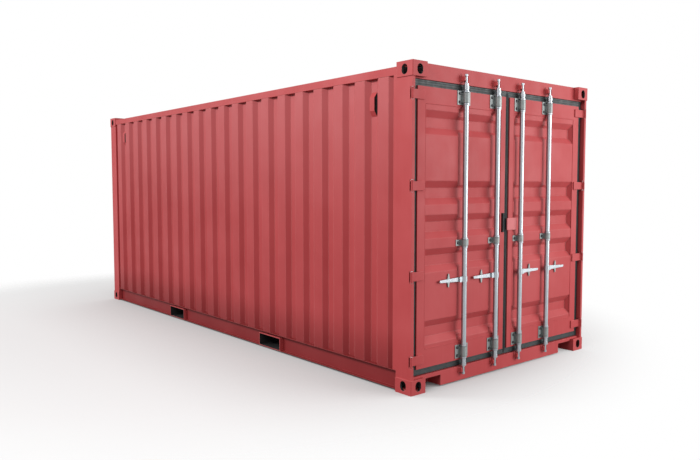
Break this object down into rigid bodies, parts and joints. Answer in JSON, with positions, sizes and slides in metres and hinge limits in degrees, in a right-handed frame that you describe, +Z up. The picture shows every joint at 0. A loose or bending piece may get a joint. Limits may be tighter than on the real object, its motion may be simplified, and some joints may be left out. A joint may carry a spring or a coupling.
{
  "type": "shipping container",
  "caption": "Corrugated steel freight box with corner fittings, fork pockets and hinged end doors held shut by turning lock rods.",
  "frame": {"origin": "centre of the footprint, on the ground under the bottom fittings", "axes": "+X points out of the door end, +Y points to the right of someone standing outside and facing the doors, +Z points up"},
  "size_m": [6.0749, 2.438, 2.591],
  "materials": {
    "red_paint": "coated",
    "galvanised": "zinc coated",
    "seal_rubber": "satin",
    "floor_ply": "worn",
    "under_coat": "matt coated"
  },
  "bodies": {
    "box_frame": {"fitting_door_top_right": "red_paint", "fitting_door_top_left": "red_paint", "fitting_door_bottom_right": "red_paint", "fitting_door_bottom_left": "red_paint", "fitting_front_top_right": "red_paint", "fitting_front_top_left": "red_paint", "fitting_front_bottom_right": "red_paint", "fitting_front_bottom_left": "red_paint", "right_door_post": "red_paint", "right_front_post": "red_paint", "right_top_rail": "red_paint", "right_bottom_rail": "red_paint", "right_side_wall": "red_paint", "right_hinge_lugs": "red_paint", "left_door_post": "red_paint", "left_front_post": "red_paint", "left_top_rail": "red_paint", "left_bottom_rail": "red_paint", "left_side_wall": "red_paint", "left_hinge_lugs": "red_paint", "door_header": "red_paint", "door_sill": "red_paint", "front_top_rail": "red_paint", "front_bottom_rail": "red_paint", "front_wall": "red_paint", "roof_sheet": "red_paint", "fork_pockets": "red_paint", "vent_hoods": "red_paint", "header_keepers": "red_paint", "sill_keepers": "red_paint", "floor_boards": "floor_ply", "cross_members": "under_coat"},
    "right_leaf": {"right_leaf_frame": "red_paint", "right_leaf_panel": "red_paint", "right_leaf_seal": "seal_rubber", "right_hinge_blades": "red_paint", "right_bar_guides": "galvanised", "right_handle_retainers": "galvanised", "right_lap_plate": "red_paint"},
    "left_leaf": {"left_leaf_frame": "red_paint", "left_leaf_panel": "red_paint", "left_leaf_seal": "seal_rubber", "left_hinge_blades": "red_paint", "left_bar_guides": "galvanised", "left_handle_retainers": "galvanised"},
    "right_inner_rod": {"right_inner_bar": "galvanised"},
    "right_inner_grip": {"right_inner_handle": "galvanised"},
    "right_outer_rod": {"right_outer_bar": "galvanised"},
    "right_outer_grip": {"right_outer_handle": "galvanised"},
    "left_inner_rod": {"left_inner_bar": "galvanised"},
    "left_inner_grip": {"left_inner_handle": "galvanised"},
    "left_outer_rod": {"left_outer_bar": "galvanised"},
    "left_outer_grip": {"left_outer_handle": "galvanised"}
  },
  "joints": [
    {"name": "right_leaf_hinge", "type": "hinge", "parent": "box_frame", "child": "right_leaf", "pos_m": [3.015, 1.205, 1.3], "axis": [0, 0, 1], "range_deg": [0, 265]},
    {"name": "right_inner_rod_turn", "type": "hinge", "parent": "right_leaf", "child": "right_inner_rod", "pos_m": [3.019, 0.172, 1.3], "axis": [0, 0, 1], "range_deg": [-100, 0]},
    {"name": "right_inner_grip_lift", "type": "hinge", "parent": "right_inner_rod", "child": "right_inner_grip", "pos_m": [3.008, 0.218, 0.866], "axis": [1, 0, 0], "range_deg": [0, 25]},
    {"name": "right_outer_rod_turn", "type": "hinge", "parent": "right_leaf", "child": "right_outer_rod", "pos_m": [3.019, 0.59, 1.3], "axis": [0, 0, 1], "range_deg": [-100, 0]},
    {"name": "right_outer_grip_lift", "type": "hinge", "parent": "right_outer_rod", "child": "right_outer_grip", "pos_m": [3.008, 0.636, 0.866], "axis": [1, 0, 0], "range_deg": [0, 25]},
    {"name": "left_leaf_hinge", "type": "hinge", "parent": "box_frame", "child": "left_leaf", "pos_m": [3.015, -1.205, 1.3], "axis": [0, 0, -1], "range_deg": [0, 265]},
    {"name": "left_inner_rod_turn", "type": "hinge", "parent": "left_leaf", "child": "left_inner_rod", "pos_m": [3.019, -0.172, 1.3], "axis": [0, 0, -1], "range_deg": [-100, 0]},
    {"name": "left_inner_grip_lift", "type": "hinge", "parent": "left_inner_rod", "child": "left_inner_grip", "pos_m": [3.008, -0.218, 0.866], "axis": [-1, 0, 0], "range_deg": [0, 25]},
    {"name": "left_outer_rod_turn", "type": "hinge", "parent": "left_leaf", "child": "left_outer_rod", "pos_m": [3.019, -0.59, 1.3], "axis": [0, 0, -1], "range_deg": [-100, 0]},
    {"name": "left_outer_grip_lift", "type": "hinge", "parent": "left_outer_rod", "child": "left_outer_grip", "pos_m": [3.008, -0.636, 0.866], "axis": [-1, 0, 0], "range_deg": [0, 25]}
  ]
}
